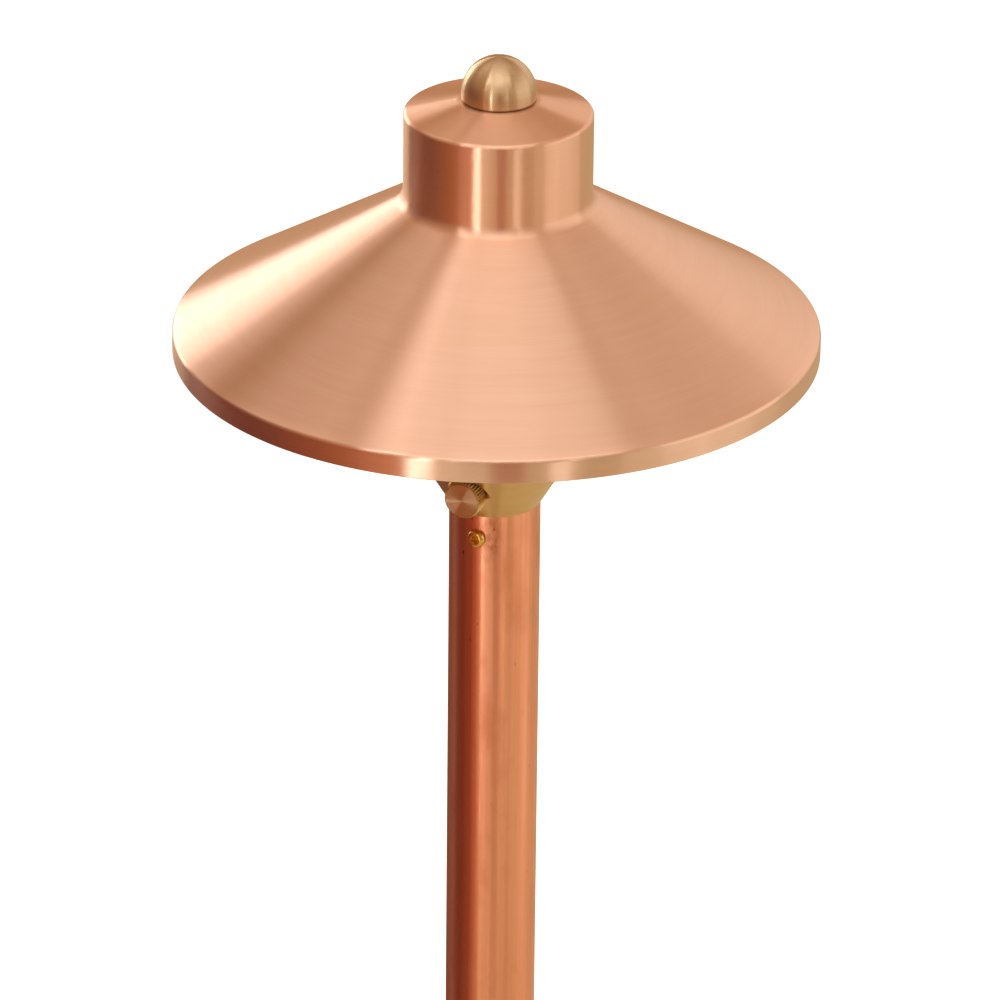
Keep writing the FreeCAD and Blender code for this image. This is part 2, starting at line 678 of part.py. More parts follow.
def make_lamp_filament():
    """Coiled filament on two support wires that meet the pins inside the pinch."""
    axis_z = lamp_bottom + FILAMENT_HEIGHT
    coil_path = Part.makeHelix(FILAMENT_PITCH, PIN_SPACING, FILAMENT_RADIUS)
    start = FreeCAD.Vector(FILAMENT_RADIUS, 0, 0)
    along = FreeCAD.Vector(0, 2 * math.pi * FILAMENT_RADIUS, FILAMENT_PITCH)
    section = Part.Wire(Part.makeCircle(FILAMENT_WIRE, start, along))
    coil = Part.Wire(coil_path).makePipeShell([section], True, True)
    coil.rotate(FreeCAD.Vector(0, 0, 0), FreeCAD.Vector(0, 1, 0), 90)
    coil.translate(FreeCAD.Vector(-PIN_SPACING / 2, 0, axis_z))
    filament = coil
    for x in (-PIN_SPACING / 2, PIN_SPACING / 2):
        filament = filament.fuse(rod(FILAMENT_WIRE, lamp_bottom + PIN_ROOT, axis_z - FILAMENT_RADIUS, x))
    return filament


def make_lamp_pins():
    """Two pins under the pinch, held by the socket's contacts."""
    pins = []
    for x in (-PIN_SPACING / 2, PIN_SPACING / 2):
        pins.append(rod(PIN_RADIUS, lamp_bottom - PIN_REACH, lamp_bottom + PIN_ROOT, x))
    return Part.makeCompound(pins)


hub_screw_z = stem_top - HUB_SCREW_DROP
base_screw_z = stem_bottom + BASE_SCREW_RISE
oring_z = hub_top - ORING_BELOW_RIM

nodes = {
    "ground_stake": make_ground_stake(),
    "base_fitting": make_base_fitting(),
    "base_screw": make_stem_screw(base_screw_z),
    "lead_grommet": make_lead_grommet(),
    "stem_tube": make_stem_tube(),
    "hub": make_hub(),
    "hub_screw": make_stem_screw(hub_screw_z),
    "lamp_socket": make_lamp_socket(),
    "socket_screws": make_socket_screws(),
    "socket_contacts": make_socket_contacts(),
    "socket_leads": make_socket_leads(),
    "lead_connectors": make_lead_connectors(),
    "lens_holder": make_lens_holder(),
    "holder_oring": make_holder_oring(),
    "lower_gasket": make_gasket(lens_seat),
    "lens": make_lens(),
    "upper_gasket": make_gasket(lens_top),
    "lens_cap": make_lens_cap(),
    "tie_rods": make_tie_rods(),
    "tie_rod_nuts": make_tie_rod_nuts(),
    "hat_bolt": make_hat_bolt(),
    "hat_spacer": make_hat_spacer(),
    "hat_washer": make_hat_washer(),
    "hat": make_hat(),
    "finial_washer": make_finial_washer(),
    "finial": make_finial(),
    "thumbscrew_washer": make_thumbscrew_washer(),
    "thumbscrew": make_thumbscrew(),
    "lamp_capsule": make_lamp_capsule(),
    "lamp_filament": make_lamp_filament(),
    "lamp_pins": make_lamp_pins(),
}

os.makedirs("parts", exist_ok=True)
for name, shape in nodes.items():
    shape.exportStep("parts/" + name + ".step")
    print(name, len(shape.Solids), shape.isValid(), round(shape.Volume, 2))
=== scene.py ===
import json
import math

import bmesh
import bpy
from mathutils import Matrix, Vector


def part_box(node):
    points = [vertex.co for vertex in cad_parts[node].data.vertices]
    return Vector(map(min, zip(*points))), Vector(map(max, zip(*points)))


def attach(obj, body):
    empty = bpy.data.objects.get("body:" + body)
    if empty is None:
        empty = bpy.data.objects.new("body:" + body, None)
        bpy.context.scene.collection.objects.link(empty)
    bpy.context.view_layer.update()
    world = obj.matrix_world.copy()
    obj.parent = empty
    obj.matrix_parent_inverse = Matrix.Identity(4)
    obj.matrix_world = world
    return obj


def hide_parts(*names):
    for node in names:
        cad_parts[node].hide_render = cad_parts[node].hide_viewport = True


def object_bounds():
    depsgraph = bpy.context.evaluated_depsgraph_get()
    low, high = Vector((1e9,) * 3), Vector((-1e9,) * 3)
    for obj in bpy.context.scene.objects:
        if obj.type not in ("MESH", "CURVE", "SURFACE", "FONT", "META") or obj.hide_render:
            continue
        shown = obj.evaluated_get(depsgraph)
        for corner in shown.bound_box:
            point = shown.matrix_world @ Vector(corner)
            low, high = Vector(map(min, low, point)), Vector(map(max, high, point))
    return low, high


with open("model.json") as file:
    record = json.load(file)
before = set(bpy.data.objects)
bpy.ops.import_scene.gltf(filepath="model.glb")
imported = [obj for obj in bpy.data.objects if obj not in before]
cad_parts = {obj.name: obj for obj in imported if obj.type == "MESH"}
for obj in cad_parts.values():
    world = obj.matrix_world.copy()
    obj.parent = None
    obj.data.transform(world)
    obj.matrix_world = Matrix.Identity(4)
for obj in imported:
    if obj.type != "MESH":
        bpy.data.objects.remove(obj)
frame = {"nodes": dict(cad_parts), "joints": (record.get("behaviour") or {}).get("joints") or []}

cad_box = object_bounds()
nodes = frame["nodes"]

# Ground stake: one moulding in black plastic, with a cross-shaped blade, a flange that
# rests on the soil and a boss that the stem's fitting screws into. The mould is spark
# eroded, so the surface has a fine even grain with a few paler rubbed places.


def new_finish(name, base_color, metallic, roughness):
    """Material with one Principled shader, set to a plain start."""
    finish = bpy.data.materials.new(name)
    finish.use_nodes = True
    shader = finish.node_tree.nodes["Principled BSDF"]
    shader.inputs["Base Color"].default_value = (*base_color, 1)
    shader.inputs["Metallic"].default_value = metallic
    shader.inputs["Roughness"].default_value = roughness
    return finish, finish.node_tree, shader


def feed(tree, value, socket):
    """Links a socket, or sets a plain value."""
    if isinstance(value, bpy.types.NodeSocket):
        tree.links.new(value, socket)
    else:
        socket.default_value = value


def calculate(tree, operation, first, second=0.0):
    """Math node on two sockets or numbers."""
    node = tree.nodes.new("ShaderNodeMath")
    node.operation = operation
    feed(tree, first, node.inputs[0])
    feed(tree, second, node.inputs[1])
    return node.outputs[0]


def spread(tree, value, low, high, new_low, new_high):
    """Map Range node, clamped at both ends."""
    node = tree.nodes.new("ShaderNodeMapRange")
    feed(tree, value, node.inputs["Value"])
    ends = {"From Min": low, "From Max": high, "To Min": new_low, "To Max": new_high}
    for label, number in ends.items():
        node.inputs[label].default_value = number
    return node.outputs["Result"]


def tinted(tree, mask, plain, marked):
    """Colour that goes from plain to marked as the mask goes from 0 to 1."""
    node = tree.nodes.new("ShaderNodeMix")
    node.data_type = "RGBA"
    feed(tree, mask, node.inputs["Factor"])
    for label, color in (("A", plain), ("B", marked)):
        is_socket = isinstance(color, bpy.types.NodeSocket)
        feed(tree, color if is_socket else (*color, 1), node.inputs[label])
    return node.outputs["Result"]


def cloudy(tree, place, scale, detail=3.0, roughness=0.5):
    """Noise over a place vector, as a value round 0.5."""
    node = tree.nodes.new("ShaderNodeTexNoise")
    tree.links.new(place, node.inputs["Vector"])
    node.inputs["Scale"].default_value = scale
    node.inputs["Detail"].default_value = detail
    node.inputs["Roughness"].default_value = roughness
    return node.outputs["Fac"]


def raised(tree, height, strength, shader):
    """Bump from a height value into the shader's normal."""
    full_relief = 0.0001
    node = tree.nodes.new("ShaderNodeBump")
    node.inputs["Strength"].default_value = strength
    node.inputs["Distance"].default_value = full_relief
    tree.links.new(height, node.inputs["Height"])
    tree.links.new(node.outputs["Normal"], shader.inputs["Normal"])


def object_place(tree, shift=(0, 0, 0), turn=(0, 0, 0), scale=(1, 1, 1)):
    """Object coordinates, scaled, turned and then moved."""
    coordinates = tree.nodes.new("ShaderNodeTexCoord")
    mapping = tree.nodes.new("ShaderNodeMapping")
    mapping.inputs["Location"].default_value = shift
    mapping.inputs["Rotation"].default_value = turn
    mapping.inputs["Scale"].default_value = scale
    tree.links.new(coordinates.outputs["Object"], mapping.inputs["Vector"])
    return mapping.outputs["Vector"]


def new_group(name, inputs, outputs):
    """Empty shader group with the given sockets, all numbers except the place vector."""
    group = bpy.data.node_groups.new(name, "ShaderNodeTree")
    for label in inputs:
        kind = "NodeSocketVector" if label == "Place" else "NodeSocketFloat"
        group.interface.new_socket(label, in_out="INPUT", socket_type=kind)
    for label in outputs:
        group.interface.new_socket(label, in_out="OUTPUT", socket_type="NodeSocketFloat")
    return group, group.nodes.new("NodeGroupInput").outputs, group.nodes.new("NodeGroupOutput").inputs


def placed(tree, group, **values):
    """Outputs of a group node that is given its own place and numbers."""
    node = tree.nodes.new("ShaderNodeGroup")
    node.node_tree = group
    for label, value in values.items():
        feed(tree, value, node.inputs[label])
    return node.outputs


def dress(finish, *names):
    """Gives pieces of the frame their finish."""
    for name in names:
        nodes[name].material_slots[0].material = finish


moulded_grain, group_in, group_out = new_group("moulded grain", ["Place"], ["Grain", "Rubbed"])
feed(moulded_grain, cloudy(moulded_grain, group_in["Place"], 2600, 2), group_out["Grain"])
rubbed_cloud = cloudy(moulded_grain, group_in["Place"], 45, 5, 0.65)
feed(moulded_grain, spread(moulded_grain, rubbed_cloud, 0.5, 0.75, 0, 1), group_out["Rubbed"])


def moulded(name, plain, rubbed, roughness, grain_strength):
    """Moulded plastic, rubber or silicone with a fine grain and rubbed places."""
    finish, tree, shader = new_finish(name, plain, 0, roughness)
    grain = placed(tree, moulded_grain, Place=object_place(tree))
    feed(tree, tinted(tree, grain["Rubbed"], plain, rubbed), shader.inputs["Base Color"])
    feed(tree, spread(tree, grain["Rubbed"], 0, 1, roughness, roughness * 0.75), shader.inputs["Roughness"])
    raised(tree, grain["Grain"], grain_strength, shader)
    return finish


dress(moulded("stake plastic", (0.022, 0.022, 0.023), (0.05, 0.05, 0.052), 0.52, 0.4), "ground_stake")

# Base fitting, its cross-recess screw and the rubber grommet in its top: the fitting is
# turned from brass bar and screws into the stake, and lathe lines run round it.


def vector_step(tree, operation, first, second=None):
    """Vector Math node on one or two vectors."""
    node = tree.nodes.new("ShaderNodeVectorMath")
    node.operation = operation
    feed(tree, first, node.inputs[0])
    if second is not None:
        feed(tree, second, node.inputs[1])
    return node.outputs["Value" if operation == "LENGTH" else "Vector"]


def split(tree, place):
    """X, Y and Z of a place vector."""
    node = tree.nodes.new("ShaderNodeSeparateXYZ")
    feed(tree, place, node.inputs[0])
    return node.outputs


lathe_lines, group_in, group_out = new_group(
    "lathe lines", ["Place", "Fineness", "Arc"], ["Lines", "Bands"])
height = split(lathe_lines, group_in["Place"])["Z"]
flat_place = vector_step(lathe_lines, "MULTIPLY", group_in["Place"], (1, 1, 0))
reach = vector_step(lathe_lines, "LENGTH", flat_place)
heading = split(lathe_lines, vector_step(lathe_lines, "NORMALIZE", flat_place))
for label, coarseness in (("Lines", 1.0), ("Bands", 0.12)):
    fineness = calculate(lathe_lines, "MULTIPLY", group_in["Fineness"], coarseness)
    line_place = lathe_lines.nodes.new("ShaderNodeCombineXYZ")
    feed(lathe_lines, calculate(lathe_lines, "MULTIPLY", reach, fineness), line_place.inputs["X"])
    for axis, source in (("Y", "X"), ("Z", "Y")):
        swept = calculate(lathe_lines, "MULTIPLY", heading[source], group_in["Arc"])
        feed(lathe_lines, swept, line_place.inputs[axis])
    noise = lathe_lines.nodes.new("ShaderNodeTexNoise")
    noise.noise_dimensions = "4D"
    noise.inputs["Scale"].default_value = 1
    noise.inputs["Detail"].default_value = 2
    feed(lathe_lines, line_place.outputs[0], noise.inputs["Vector"])
    feed(lathe_lines, calculate(lathe_lines, "MULTIPLY", height, fineness), noise.inputs["W"])
    feed(lathe_lines, spread(lathe_lines, noise.outputs["Fac"], 0.25, 0.75, 0, 1), group_out[label])


def around_axis(tree, axis, centre):
    """Vector that runs round an axis of the piece and is as long as the distance from it."""
    outward = vector_step(tree, "SUBTRACT", object_place(tree), centre)
    return vector_step(tree, "CROSS_PRODUCT", axis, outward)


def round_tangent(tree, shader, axis, centre):
    """Tangent that runs round an axis, so that the gloss is drawn out across the lines."""
    in_world = tree.nodes.new("ShaderNodeVectorTransform")
    in_world.vector_type = "VECTOR"
    in_world.convert_from = "OBJECT"
    in_world.convert_to = "WORLD"
    feed(tree, around_axis(tree, axis, centre), in_world.inputs[0])
    feed(tree, in_world.outputs[0], shader.inputs["Tangent"])
    quarter_turn = 0.25
    shader.inputs["Anisotropic Rotation"].default_value = quarter_turn


def turned_metal(
        name, bright, dark, roughness, anisotropy, fineness, bump, axis=(0, 0, 1), centre=(0, 0, 0)):
    """Metal turned or brushed round an axis: lathe lines in its tone, gloss and relief."""
    finish, tree, shader = new_finish(name, bright, 1, roughness)
    turn = Vector(axis).to_track_quat("Z", "Y").inverted()
    local = object_place(tree, shift=-(turn @ Vector(centre)), turn=turn.to_euler())
    lines = placed(tree, lathe_lines, Place=local, Fineness=fineness, Arc=2.5)
    tone = calculate(tree, "MULTIPLY", calculate(tree, "ADD", lines["Lines"], lines["Bands"]), 0.5)
    feed(tree, tinted(tree, tone, dark, bright), shader.inputs["Base Color"])
    gloss = spread(tree, lines["Lines"], 0, 1, roughness * 1.08, roughness * 0.92)
    feed(tree, gloss, shader.inputs["Roughness"])
    shader.inputs["Anisotropic"].default_value = anisotropy
    round_tangent(tree, shader, axis, centre)
    raised(tree, lines["Lines"], bump, shader)
    return finish


def screw_brass(name, piece):
    """Bright brass of a small screw in the stem's wall, with rings round the screw's own axis."""
    low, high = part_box(piece)
    middle = (low + high) / 2
    axis = Vector((middle.x, middle.y, 0)).normalized()
    finish = turned_metal(name, (0.86, 0.58, 0.17), (0.70, 0.42, 0.08), 0.2, 0.3, 4000, 0.1, axis, middle)
    dress(finish, piece)


fitting_brass = turned_metal("fitting brass", (0.84, 0.60, 0.30), (0.70, 0.47, 0.20), 0.34, 0.8, 2500, 0.08)
dress(fitting_brass, "base_fitting")
screw_brass("base screw brass", "base_screw")
rubber = moulded("black rubber", (0.016, 0.016, 0.016), (0.035, 0.034, 0.033), 0.6, 0.3)
dress(rubber, "lead_grommet")

# Stem: plain drawn copper tube, left bare. Drawing leaves faint streaks along it, and
# handling has left brown smudges and small dark specks, most of them just under the hub,
# with one smear beside the screw.

stem_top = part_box("stem_tube")[1].z
handling_marks, group_in, group_out = new_group("handling marks", ["Place", "Size"], ["Smudge", "Specks"])
sized = vector_step(handling_marks, "MULTIPLY", group_in["Place"], group_in["Size"])
smudge_cloud = cloudy(handling_marks, sized, 1, 6, 0.62)
feed(handling_marks, spread(handling_marks, smudge_cloud, 0.48, 0.72, 0, 1), group_out["Smudge"])
speck_cells = handling_marks.nodes.new("ShaderNodeTexVoronoi")
speck_cells.inputs["Scale"].default_value = 6
feed(handling_marks, sized, speck_cells.inputs["Vector"])
speck_chance = handling_marks.nodes.new("ShaderNodeSeparateColor")
feed(handling_marks, speck_cells.outputs["Color"], speck_chance.inputs[0])
speck_size = spread(handling_marks, speck_chance.outputs["Red"], 0.78, 1.0, 0, 0.22)
speck_depth = calculate(handling_marks, "SUBTRACT", speck_size, speck_cells.outputs["Distance"])
feed(handling_marks, spread(handling_marks, speck_depth, 0, 0.06, 0, 1), group_out["Specks"])

stem_finish, tree, shader = new_finish("stem copper", (0.94, 0.40, 0.25), 1, 0.3)
drawn = cloudy(tree, object_place(tree, scale=(1, 1, 0.012)), 900, 3)
streaked = tinted(tree, spread(tree, drawn, 0.3, 0.7, 0, 1), (0.89, 0.36, 0.21), (0.96, 0.44, 0.285))
marks = placed(tree, handling_marks, Place=object_place(tree, scale=(1, 1, 0.45)), Size=70.0)
smudged = tinted(tree, calculate(tree, "MULTIPLY", marks["Smudge"], 0.5), streaked, (0.70, 0.22, 0.10))
height = split(tree, object_place(tree))["Z"]
near_hub = spread(tree, height, stem_top - 0.06, stem_top - 0.005, 0.25, 1)
speckled = tinted(tree, calculate(tree, "MULTIPLY", marks["Specks"], near_hub), smudged, (0.42, 0.12, 0.06))
smear_half_width = 0.003
smear_half_height = 0.007
smear_centre = Vector((-0.0012, -0.0142, stem_top - 0.0065))
smear_scale = Vector((1 / smear_half_width, 0.2 / smear_half_width, 1 / smear_half_height))
smear_place = object_place(tree, shift=-(smear_centre * smear_scale), scale=smear_scale)
smear_area = spread(tree, vector_step(tree, "LENGTH", smear_place), 0.3, 1.5, 1, 0)
fleck_cloud = cloudy(tree, object_place(tree, scale=(1, 1, 0.6)), 520, 8, 0.7)
flecks = spread(tree, fleck_cloud, 0.44, 0.62, 0.1, 0.75)
smear = calculate(tree, "MULTIPLY", smear_area, flecks)
feed(tree, tinted(tree, smear, speckled, (0.43, 0.12, 0.055)), shader.inputs["Base Color"])
feed(tree, spread(tree, marks["Smudge"], 0, 1, 0.28, 0.4), shader.inputs["Roughness"])
raised(tree, drawn, 0.05, shader)
dress(stem_finish, "stem_tube")

# Hub: funnel turned from solid brass. Its spigot sits in the stem and is held by one
# screw, and a pocket milled in the flare gives the thumbscrew a flat seat.

dress(turned_metal("hub brass", (0.84, 0.58, 0.295), (0.76, 0.485, 0.22), 0.22, 0.9, 2500, 0.03), "hub")
screw_brass("hub screw brass", "hub_screw")

# Lamp socket, its plated screws, sleeve contacts, leads and crimp caps: unglazed ceramic on
# the hub's floor, with glass-sleeved leads that run down inside the stem.

steatite_finish, tree, shader = new_finish("steatite", (0.80, 0.77, 0.70), 0, 0.6)
chalk = cloudy(tree, object_place(tree), 700, 4)
chalky = tinted(tree, spread(tree, chalk, 0.35, 0.7, 0, 1), (0.82, 0.79, 0.73), (0.70, 0.66, 0.58))
feed(tree, chalky, shader.inputs["Base Color"])
raised(tree, chalk, 0.3, shader)
dress(steatite_finish, "lamp_socket")


def drawn_metal(name, bright, dark, roughness):
    """Small drawn or stamped metal pieces: faint cloudy tone and fine scuffs."""
    finish, tree, shader = new_finish(name, bright, 1, roughness)
    cloud = cloudy(tree, object_place(tree), 1800, 4, 0.6)
    feed(tree, tinted(tree, spread(tree, cloud, 0.3, 0.7, 0, 1), dark, bright), shader.inputs["Base Color"])
    feed(tree, spread(tree, cloud, 0.3, 0.7, roughness * 1.3, roughness * 0.8), shader.inputs["Roughness"])
    raised(tree, cloud, 0.08, shader)
    return finish


dress(drawn_metal("plated steel", (0.68, 0.68, 0.69), (0.52, 0.52, 0.53), 0.24), "socket_screws", "lamp_pins")
dress(drawn_metal("contact brass", (0.80, 0.60, 0.32), (0.60, 0.42, 0.19), 0.26), "socket_contacts")

lead_finish, tree, shader = new_finish("woven lead", (0.75, 0.73, 0.66), 0, 0.8)
weave = tree.nodes.new("ShaderNodeTexChecker")
weave.inputs["Scale"].default_value = 2200
feed(tree, object_place(tree, turn=(0, math.radians(45), 0)), weave.inputs["Vector"])
woven = tinted(tree, weave.outputs["Fac"], (0.78, 0.76, 0.70), (0.64, 0.61, 0.54))
feed(tree, woven, shader.inputs["Base Color"])
raised(tree, weave.outputs["Fac"], 0.4, shader)
dress(lead_finish, "socket_leads")

dress(moulded("nylon caps", (0.76, 0.71, 0.60), (0.66, 0.60, 0.48), 0.4, 0.15), "lead_connectors")

# Lamp: clear quartz capsule, pinched flat at its foot round a coiled tungsten filament on
# two wires. Its pins push into the socket's contacts.

quartz_finish, tree, shader = new_finish("quartz", (0.96, 0.97, 0.97), 0, 0.03)
shader.inputs["Transmission Weight"].default_value = 1
shader.inputs["IOR"].default_value = 1.46
haze = cloudy(tree, object_place(tree), 350, 3)
feed(tree, spread(tree, haze, 0.4, 0.8, 0.02, 0.12), shader.inputs["Roughness"])
dress(quartz_finish, "lamp_capsule")
dress(drawn_metal("tungsten", (0.42, 0.41, 0.40), (0.2, 0.2, 0.21), 0.4), "lamp_filament")

# Lens holder, its rubber ring, and the cap over the glass: turned brass collars. The holder
# drops into the hub's bore and the cap closes the top of the glass.

collar_brass = turned_metal("collar brass", (0.85, 0.62, 0.33), (0.70, 0.47, 0.20), 0.34, 0.8, 2500, 0.08)
dress(collar_brass, "lens_holder", "lens_cap")
dress(rubber, "holder_oring")

# Lens and its two gaskets: frosted borosilicate tube round the lamp, etched on the outside,
# between white silicone rings.

silicone = moulded("silicone", (0.72, 0.70, 0.66), (0.6, 0.57, 0.52), 0.5, 0.15)
dress(silicone, "lower_gasket", "upper_gasket")
glass_finish, tree, shader = new_finish("frosted glass", (0.93, 0.95, 0.94), 0, 0.45)
shader.inputs["Transmission Weight"].default_value = 0.9
shader.inputs["IOR"].default_value = 1.47
etched = cloudy(tree, object_place(tree), 1500, 3)
feed(tree, spread(tree, etched, 0.3, 0.7, 0.38, 0.55), shader.inputs["Roughness"])
raised(tree, etched, 0.15, shader)
dress(glass_finish, "lens")

# Tie rods and their nuts, and the bolt, spacer and washer that carry the hat: brass. The
# rods and the bolt have rolled threads, which the solids leave plain.


def new_piece(name, maker, finish, body, slot, *replaced):
    """Object from a finished bmesh, shaded smooth apart from its sharp edges, on its body of the frame."""
    sharp = math.radians(35)
    bmesh.ops.remove_doubles(maker, verts=maker.verts, dist=1e-7)
    bmesh.ops.recalc_face_normals(maker, faces=maker.faces)
    for face in maker.faces:
        face.smooth = True
    for edge in maker.edges:
        edge.smooth = len(edge.link_faces) == 2 and edge.calc_face_angle() < sharp
    mesh = bpy.data.meshes.new(name)
    maker.to_mesh(mesh)
    maker.free()
    mesh.materials.append(finish)
    piece = bpy.data.objects.new(name, mesh)
    bpy.context.scene.collection.objects.link(piece)
    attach(piece, body)
    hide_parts(*replaced)


def add_thread(maker, x, y, bottom, top, radius, pitch, segments):
    """Screw thread: a ridge swept once round a helix and repeated up a plain core with flat ends."""
    core_radius = radius - 0.55 * pitch
    crest_start = 0.42
    crest_end = 0.58
    centre = Vector((x, y, 0))
    points = []
    for reach, rise in ((core_radius, 0), (radius, crest_start), (radius, crest_end), (core_radius, 1)):
        points.append(maker.verts.new(centre + Vector((reach, 0, bottom + rise * pitch))))
    ridge = [maker.edges.new(pair) for pair in zip(points, points[1:])]
    known = set(maker.faces)
    bmesh.ops.spin(
        maker, geom=points + ridge, cent=centre, axis=(0, 0, 1), dvec=(0, 0, pitch / segments),
        angle=2 * math.pi, steps=segments, use_merge=False)
    one_turn = [face for face in maker.faces if face not in known]
    for turn in range(1, int((top - bottom) / pitch) - 1):
        copied = bmesh.ops.duplicate(maker, geom=one_turn)["geom"]
        copied_points = [part for part in copied if isinstance(part, bmesh.types.BMVert)]
        bmesh.ops.translate(maker, verts=copied_points, vec=(0, 0, turn * pitch))
    middle = Matrix.Translation(centre + Vector((0, 0, (bottom + top) / 2)))
    filled_radius = core_radius * 0.98
    bmesh.ops.create_cone(
        maker, cap_ends=True, segments=segments, radius1=filled_radius, radius2=filled_radius,
        depth=top - bottom, matrix=middle)


rod_brass = drawn_metal("thread brass", (0.80, 0.58, 0.29), (0.62, 0.42, 0.18), 0.28)
rod_low, rod_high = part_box("tie_rods")
rod_radius = 0.0015
rod_pitch = 0.0005
rod_circle = 0.0212
rods = bmesh.new()
for third in range(3):
    azimuth = math.radians(180 + 120 * third)
    rod_x = -math.sin(azimuth) * rod_circle
    rod_y = -math.cos(azimuth) * rod_circle
    add_thread(rods, rod_x, rod_y, rod_low.z, rod_high.z, rod_radius, rod_pitch, 14)
new_piece("threaded_rods", rods, rod_brass, "head", "rod_brass", "tie_rods")
dress(drawn_metal("nut brass", (0.82, 0.60, 0.30), (0.68, 0.46, 0.20), 0.25), "tie_rod_nuts")
dress(collar_brass, "hat_spacer", "hat_washer")

bolt_low, bolt_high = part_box("hat_bolt")
bolt_head_radius = 0.0055
bolt_head_height = 0.003
bolt_head_bevel = 0.0003
bolt_radius = 0.003
bolt_pitch = 0.001
bolt = bmesh.new()
bmesh.ops.create_cone(
    bolt, cap_ends=True, segments=48, radius1=bolt_head_radius, radius2=bolt_head_radius,
    depth=bolt_head_height, matrix=Matrix.Translation((0, 0, bolt_low.z + bolt_head_height / 2)))
head_rims = [edge for edge in bolt.edges if edge.verts[0].co.z == edge.verts[1].co.z]
bmesh.ops.bevel(
    bolt, geom=head_rims, offset=bolt_head_bevel, segments=2, profile=0.5, affect="EDGES", material=-1)
add_thread(bolt, 0, 0, bolt_low.z + bolt_head_height, bolt_high.z, bolt_radius, bolt_pitch, 32)
new_piece("threaded_bolt", bolt, rod_brass, "head", "rod_brass", "hat_bolt")

# Hat: spun from copper sheet over a form, then brushed on the lathe, so that fine lines
# run round the axis and draw every highlight out into a wedge towards the rim. The crown
# and the lip are brushed finer than the brim. The crown is painted a deeper copper than the
# brim: painted shade, for the deeper tone of its dimmer reflections.


def spun(corners, segments):
    """Bmesh turned about Z from (radius, height, bend radius) corners of a closed outline."""
    maker = bmesh.new()
    outline = [maker.verts.new((radius, 0, height)) for radius, height, bend in corners]
    sides = [maker.edges.new(pair) for pair in zip(outline, outline[1:] + outline[:1])]
    bmesh.ops.contextual_create(maker, geom=sides)
    for i, vert in enumerate(outline):
        bend = corners[i][2]
        if bend == 0:
            continue
        here = Vector(corners[i][:2])
        before = Vector(corners[i - 1][:2]) - here
        after = Vector(corners[(i + 1) % len(corners)][:2]) - here
        half_turn = before.angle(after) / 2
        bmesh.ops.bevel(
            maker, geom=[vert], offset=bend / math.tan(half_turn), offset_type="OFFSET", segments=12,
            profile=0.5, affect="VERTICES", material=-1)
    bmesh.ops.delete(maker, geom=maker.faces[:], context="FACES_ONLY")
    bmesh.ops.spin(
        maker, geom=maker.verts[:] + maker.edges[:], cent=(0, 0, 0), axis=(0, 0, 1), angle=2 * math.pi,
        steps=segments, use_merge=True)
    return maker


hat_low, hat_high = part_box("hat")
rim_height = hat_low.z
hat_top = hat_high.z
lip_top = rim_height + 0.0071
crown_foot = lip_top + 0.0429
shoulder = crown_foot + 0.0284
hat_radius = 0.09996
crown_blend = (crown_foot - 0.004, crown_foot + 0.004)
lip_blend = (lip_top - 0.0005, lip_top + 0.002)
lip_roughness = 0.28
brim_roughness = 0.35
crown_roughness = 0.31
hat_finish = turned_metal("spun copper", (0.98, 0.67, 0.53), (0.93, 0.595, 0.445), 0.3, 1.0, 3000, 0.03)
tree = hat_finish.node_tree
shader = tree.nodes["Principled BSDF"]
height = split(tree, object_place(tree))["Z"]
pale = shader.inputs["Base Color"].links[0].from_socket
# Painted shade: above its foot, the crown is painted a deeper copper for its dimmer reflections.
crown_painted_shade = spread(tree, height, *crown_blend, 0, 0.45)
feed(tree, tinted(tree, crown_painted_shade, pale, (0.95, 0.53, 0.34)), shader.inputs["Base Color"])
lip_gloss = spread(tree, height, *lip_blend, lip_roughness, brim_roughness)
crown_gloss = spread(tree, height, *crown_blend, brim_roughness, crown_roughness)
feed(tree, calculate(tree, "MINIMUM", lip_gloss, crown_gloss), shader.inputs["Roughness"])
crown_radius = 0.0291
land_radius = 0.0128
bolt_hole = 0.0031
sheet = 0.0012
hat_outside = [
    (bolt_hole, hat_top, 0), (land_radius, hat_top, 0.003), (crown_radius, shoulder, 0.0015),
    (crown_radius, crown_foot, 0.0045), (hat_radius, lip_top, 0.0015), (hat_radius, rim_height, 0.0004)]
hat_inside = [
    (hat_radius - sheet, rim_height, 0.0004), (hat_radius - sheet, lip_top - 0.0007, 0.0003),
    (crown_radius - sheet, crown_foot - 0.0007, 0.0057), (crown_radius - sheet, shoulder - 0.0011, 0.0003),
    (land_radius - 0.0001, hat_top - sheet, 0.0018), (bolt_hole, hat_top - sheet, 0)]
new_piece("spun_hat", spun(hat_outside + hat_inside, 256), hat_finish, "head", "hat_copper", "hat")

# Finial and its rubber washer: domed brass nut, turned and left satin, that screws down on
# the bolt and holds the hat. A dark band along its foot is painted shadow, where it sits on the hat.

finial_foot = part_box("finial")[0].z
finial_finish = turned_metal(
    "finial brass", (0.74, 0.555, 0.365), (0.66, 0.465, 0.28), 0.31, 0.95, 3000, 0.04)
tree = finial_finish.node_tree
shader = tree.nodes["Principled BSDF"]
height = split(tree, object_place(tree))["Z"]
# Painted shadow: a dark band just above the finial's foot, darkest at the foot, where it meets the hat.
foot_painted_shadow = spread(tree, height, finial_foot + 0.0002, finial_foot + 0.0008, 0.85, 0)
unshadowed_brass = shader.inputs["Base Color"].links[0].from_socket
feed(tree, tinted(tree, foot_painted_shadow, unshadowed_brass, (0.10, 0.035, 0.015)), shader.inputs["Base Color"])
dress(finial_finish, "finial")
dress(rubber, "finial_washer")

# Thumbscrew with its fibre washer: turned brass with a straight-knurled edge. Its face has
# the rings of a facing cut, centred on the screw's own axis.

